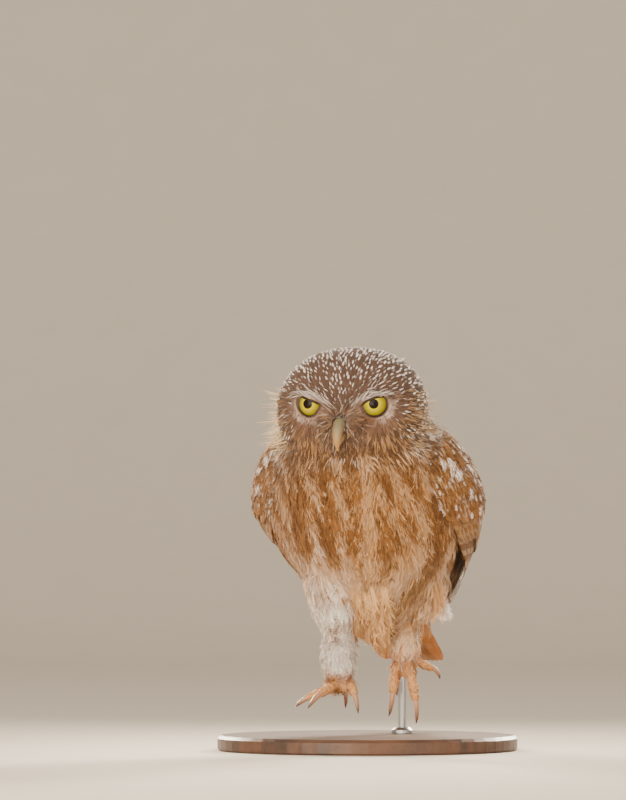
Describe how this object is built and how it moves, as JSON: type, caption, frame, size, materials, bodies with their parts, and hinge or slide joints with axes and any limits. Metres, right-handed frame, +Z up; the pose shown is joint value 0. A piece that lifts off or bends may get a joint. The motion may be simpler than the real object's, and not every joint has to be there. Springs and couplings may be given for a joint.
{
  "type": "little owl",
  "caption": "Life-size little owl in mid hop, body leaning forward with folded wings and hanging feet, held by one rod on a round wooden base.",
  "frame": {"origin": "middle of the underside of the stand's round base", "axes": "+Z up, -Y towards the viewer of the picture; the owl faces -Y turned 15 degrees towards -X, and +X is its left side"},
  "size_m": [0.156, 0.156, 0.2096],
  "materials": {
    "plumage": "soft brown feathers with pale spots and streaks",
    "pale_plumage": "soft whitish feathers",
    "flight_feathers": "brown vanes with pale bars",
    "eye": "wet yellow iris with a black pupil under a clear cornea",
    "bill": "smooth greenish yellow horn",
    "toe_skin": "scaly skin with sparse bristles",
    "claw": "smooth dark horn",
    "stand_wood": "dark satin wood",
    "stand_metal": "brushed steel"
  },
  "bodies": {
    "root": {"head": "plumage", "torso": "plumage", "eye_left": "eye", "eye_right": "eye", "bill_upper": "bill", "bill_lower": "bill", "thigh_left": "pale_plumage", "shank_left": "pale_plumage", "toe_left_middle": "toe_skin", "claw_left_middle": "claw", "toe_left_inner": "toe_skin", "claw_left_inner": "claw", "toe_left_outer": "toe_skin", "claw_left_outer": "claw", "toe_left_hallux": "toe_skin", "claw_left_hallux": "claw", "thigh_right": "pale_plumage", "shank_right": "pale_plumage", "toe_right_middle": "toe_skin", "claw_right_middle": "claw", "toe_right_inner": "toe_skin", "claw_right_inner": "claw", "toe_right_outer": "toe_skin", "claw_right_outer": "claw", "toe_right_hallux": "toe_skin", "claw_right_hallux": "claw", "tail": "flight_feathers", "wing_left": "flight_feathers", "wing_right": "flight_feathers", "stand_rod": "stand_metal", "stand_collar": "stand_metal", "stand_base": "stand_wood"}
  },
  "joints": []
}
